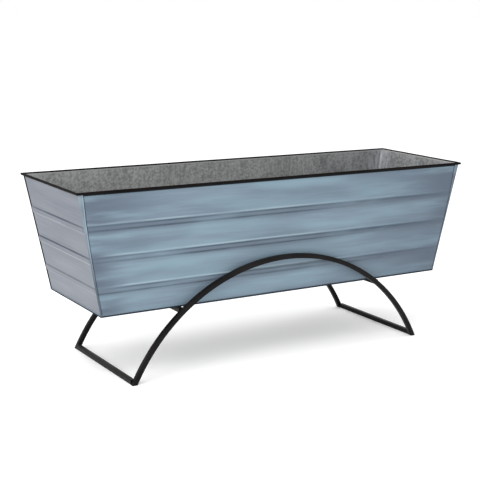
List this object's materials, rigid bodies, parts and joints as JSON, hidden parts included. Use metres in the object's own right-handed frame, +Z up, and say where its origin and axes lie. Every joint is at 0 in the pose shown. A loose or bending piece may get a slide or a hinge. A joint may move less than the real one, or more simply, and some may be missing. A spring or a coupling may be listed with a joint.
{
  "type": "raised planter on legs",
  "caption": "Long flower trough of ribbed sheet metal with outward leaning walls and a rolled rim, resting on a low stand of bent square bar arches.",
  "frame": {"origin": "on the floor, under the middle of the trough", "axes": "+X along the trough, +Y to its back, +Z up"},
  "size_m": [0.9, 0.272, 0.3735],
  "materials": {
    "black_bar": "satin black paint on steel bar",
    "blue_sheet": "brushed, distressed blue grey paint outside, bare galvanised sheet inside",
    "black_rim": "satin black paint on steel wire"
  },
  "bodies": {
    "stand": {"front_arch": "black_bar", "back_arch": "black_bar", "left_foot_bar": "black_bar", "right_foot_bar": "black_bar", "left_crossbar": "black_bar", "right_crossbar": "black_bar"},
    "trough": {"floor_pan": "blue_sheet", "front_wall": "blue_sheet", "back_wall": "blue_sheet", "left_wall": "blue_sheet", "right_wall": "blue_sheet", "front_left_strip": "blue_sheet", "front_right_strip": "blue_sheet", "back_left_strip": "blue_sheet", "back_right_strip": "blue_sheet", "rim_wire": "black_rim"}
  },
  "joints": [
    {"name": "trough_lift", "type": "slide", "parent": "stand", "child": "trough", "axis": [0, 0, 1], "range_m": [0, 0.12]}
  ]
}
